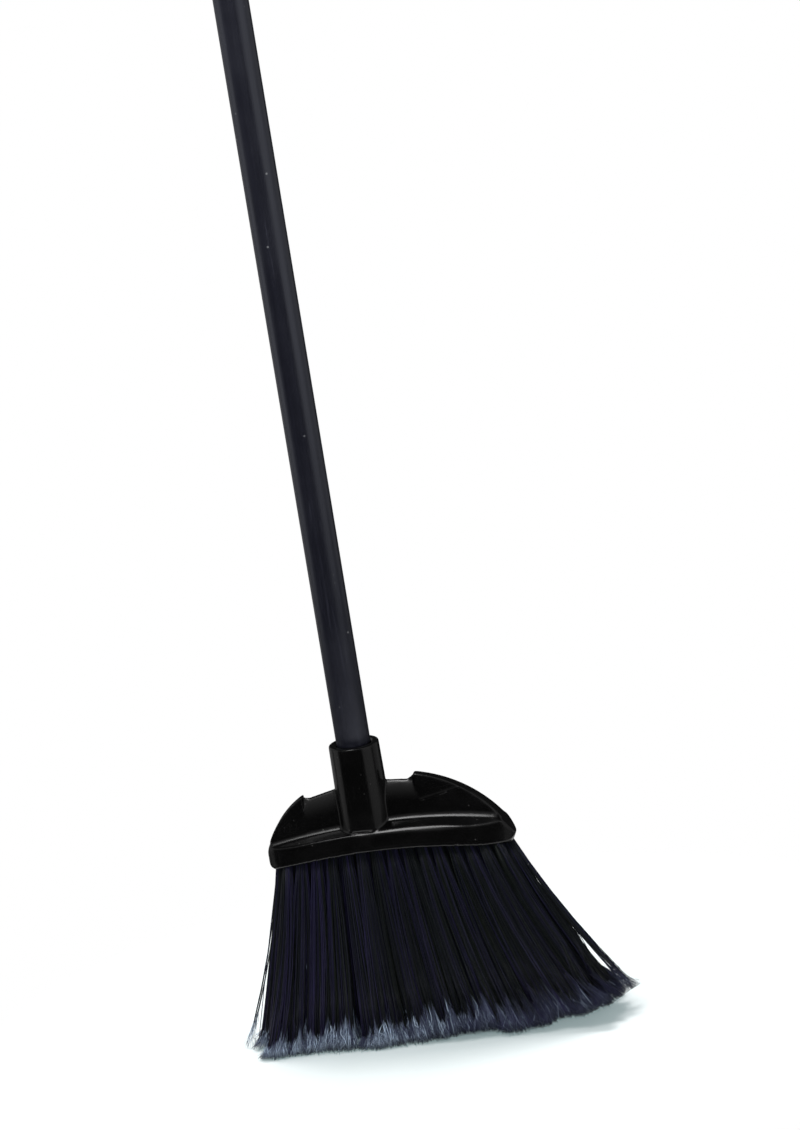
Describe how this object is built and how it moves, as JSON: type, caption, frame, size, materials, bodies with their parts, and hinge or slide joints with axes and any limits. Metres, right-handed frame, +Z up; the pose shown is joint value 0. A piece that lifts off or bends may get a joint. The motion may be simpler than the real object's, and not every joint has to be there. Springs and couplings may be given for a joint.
{
  "type": "lobby broom",
  "caption": "Upright lobby broom: a vinyl-sleeved steel handle screws into a winged, offset plastic cap that holds a flared head of flagged bristle tufts.",
  "frame": {"origin": "point of the floor under the handle's axis, at the foot of the bristles", "axes": "+Z up along the handle, +X along the cap towards its long wing, -Y towards the front"},
  "size_m": [0.2615, 0.057, 0.889],
  "materials": {
    "tube_steel": "plain drawn tube",
    "handle_vinyl": "satin dark slate vinyl",
    "tip_plastic": "satin black",
    "ferrule_plastic": "satin black",
    "cap_plastic": "glossy black moulding",
    "block_plastic": "plain black moulding",
    "anchor_wire": "drawn flat wire",
    "bristle_fibre": "dark synthetic fibre with flagged, paler tips"
  },
  "bodies": {
    "head": {"head_cap": "cap_plastic", "tuft_block": "block_plastic", "tuft_anchors": "anchor_wire", "tuft_front_1": "bristle_fibre", "tuft_front_2": "bristle_fibre", "tuft_front_3": "bristle_fibre", "tuft_front_4": "bristle_fibre", "tuft_front_5": "bristle_fibre", "tuft_front_6": "bristle_fibre", "tuft_front_7": "bristle_fibre", "tuft_front_8": "bristle_fibre", "tuft_front_9": "bristle_fibre", "tuft_front_10": "bristle_fibre", "tuft_front_11": "bristle_fibre", "tuft_front_12": "bristle_fibre", "tuft_front_13": "bristle_fibre", "tuft_front_14": "bristle_fibre", "tuft_front_15": "bristle_fibre", "tuft_middle_1": "bristle_fibre", "tuft_middle_2": "bristle_fibre", "tuft_middle_3": "bristle_fibre", "tuft_middle_4": "bristle_fibre", "tuft_middle_5": "bristle_fibre", "tuft_middle_6": "bristle_fibre", "tuft_middle_7": "bristle_fibre", "tuft_middle_8": "bristle_fibre", "tuft_middle_9": "bristle_fibre", "tuft_middle_10": "bristle_fibre", "tuft_middle_11": "bristle_fibre", "tuft_middle_12": "bristle_fibre", "tuft_middle_13": "bristle_fibre", "tuft_middle_14": "bristle_fibre", "tuft_middle_15": "bristle_fibre", "tuft_middle_16": "bristle_fibre", "tuft_back_1": "bristle_fibre", "tuft_back_2": "bristle_fibre", "tuft_back_3": "bristle_fibre", "tuft_back_4": "bristle_fibre", "tuft_back_5": "bristle_fibre", "tuft_back_6": "bristle_fibre", "tuft_back_7": "bristle_fibre", "tuft_back_8": "bristle_fibre", "tuft_back_9": "bristle_fibre", "tuft_back_10": "bristle_fibre", "tuft_back_11": "bristle_fibre", "tuft_back_12": "bristle_fibre", "tuft_back_13": "bristle_fibre", "tuft_back_14": "bristle_fibre", "tuft_back_15": "bristle_fibre"},
    "handle": {"handle_tube": "tube_steel", "vinyl_sleeve": "handle_vinyl", "hanger_tip": "tip_plastic", "thread_ferrule": "ferrule_plastic"}
  },
  "joints": [
    {"name": "handle_unscrew", "type": "hinge", "parent": "head", "child": "handle", "pos_m": [0, 0, 0.1885], "axis": [0, 0, 1], "range_deg": [0, 1350]}
  ]
}
